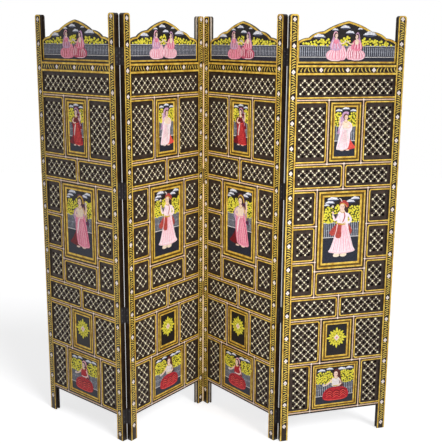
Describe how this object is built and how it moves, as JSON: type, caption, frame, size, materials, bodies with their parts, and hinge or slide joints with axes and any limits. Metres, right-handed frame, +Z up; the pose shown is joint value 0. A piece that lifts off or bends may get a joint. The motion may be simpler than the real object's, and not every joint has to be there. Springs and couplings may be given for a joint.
{
  "type": "folding screen",
  "caption": "Free-standing folding screen: narrow hinged panels with black and gold lattice, framed painted boards and lobed crests, stood in a zig-zag.",
  "frame": {"origin": "on the floor, under the middle of the bounding box of the screen as it stands in its zig-zag", "axes": "+Z up, +X along the row of panels from panel 1 to panel 4, the painted fronts face -Y"},
  "size_m": [1.5696, 0.4379, 1.83],
  "materials": {
    "black_lacquer": "black lacquer with painted gold edges, leaf strokes and white lozenges",
    "lattice_lacquer": "black lacquer with cream dots and strokes on the lattice, gold and pale pink lines on the bars",
    "crest_paint": "painted scene on black ground with a gold border",
    "gold_paint": "gold painted moulding round a painted scene",
    "back_paint": "dull black paint",
    "hinge_steel": "dull steel, worn and partly lacquered over"
  },
  "bodies": {
    "panel_1": {"panel_1_left_stile": "black_lacquer", "panel_1_right_stile": "black_lacquer", "panel_1_lattice_frame": "lattice_lacquer", "panel_1_crest_board": "crest_paint", "panel_1_back_board": "back_paint", "panel_1_seated_picture": "gold_paint", "panel_1_rosette_board": "gold_paint", "panel_1_large_picture": "gold_paint", "panel_1_small_picture": "gold_paint", "hinge_12_1_pin_leaf": "hinge_steel", "hinge_12_2_pin_leaf": "hinge_steel", "hinge_12_3_pin_leaf": "hinge_steel", "hinge_12_4_pin_leaf": "hinge_steel"},
    "panel_2": {"panel_2_left_stile": "black_lacquer", "panel_2_right_stile": "black_lacquer", "panel_2_lattice_frame": "lattice_lacquer", "panel_2_crest_board": "crest_paint", "panel_2_back_board": "back_paint", "panel_2_seated_picture": "gold_paint", "panel_2_rosette_board": "gold_paint", "panel_2_large_picture": "gold_paint", "panel_2_small_picture": "gold_paint", "hinge_12_1_barrel_leaf": "hinge_steel", "hinge_12_2_barrel_leaf": "hinge_steel", "hinge_12_3_barrel_leaf": "hinge_steel", "hinge_12_4_barrel_leaf": "hinge_steel", "hinge_23_1_pin_leaf": "hinge_steel", "hinge_23_2_pin_leaf": "hinge_steel", "hinge_23_3_pin_leaf": "hinge_steel", "hinge_23_4_pin_leaf": "hinge_steel"},
    "panel_3": {"panel_3_left_stile": "black_lacquer", "panel_3_right_stile": "black_lacquer", "panel_3_lattice_frame": "lattice_lacquer", "panel_3_crest_board": "crest_paint", "panel_3_back_board": "back_paint", "panel_3_seated_picture": "gold_paint", "panel_3_rosette_board": "gold_paint", "panel_3_large_picture": "gold_paint", "panel_3_small_picture": "gold_paint", "hinge_23_1_barrel_leaf": "hinge_steel", "hinge_23_2_barrel_leaf": "hinge_steel", "hinge_23_3_barrel_leaf": "hinge_steel", "hinge_23_4_barrel_leaf": "hinge_steel", "hinge_34_1_pin_leaf": "hinge_steel", "hinge_34_2_pin_leaf": "hinge_steel", "hinge_34_3_pin_leaf": "hinge_steel", "hinge_34_4_pin_leaf": "hinge_steel"},
    "panel_4": {"panel_4_left_stile": "black_lacquer", "panel_4_right_stile": "black_lacquer", "panel_4_lattice_frame": "lattice_lacquer", "panel_4_crest_board": "crest_paint", "panel_4_back_board": "back_paint", "panel_4_seated_picture": "gold_paint", "panel_4_rosette_board": "gold_paint", "panel_4_large_picture": "gold_paint", "panel_4_small_picture": "gold_paint", "hinge_34_1_barrel_leaf": "hinge_steel", "hinge_34_2_barrel_leaf": "hinge_steel", "hinge_34_3_barrel_leaf": "hinge_steel", "hinge_34_4_barrel_leaf": "hinge_steel"}
  },
  "joints": [
    {"name": "fold_1_2", "type": "hinge", "parent": "panel_1", "child": "panel_2", "pos_m": [-0.37354, -0.19945, 0], "axis": [0, 0, 1], "range_deg": [-94, 86]},
    {"name": "fold_2_3", "type": "hinge", "parent": "panel_2", "child": "panel_3", "pos_m": [-0.06029, 0.20258, 0], "axis": [0, 0, 1], "range_deg": [-76, 104]},
    {"name": "fold_3_4", "type": "hinge", "parent": "panel_3", "child": "panel_4", "pos_m": [0.29327, -0.16451, 0], "axis": [0, 0, 1], "range_deg": [-67, 113]}
  ]
}
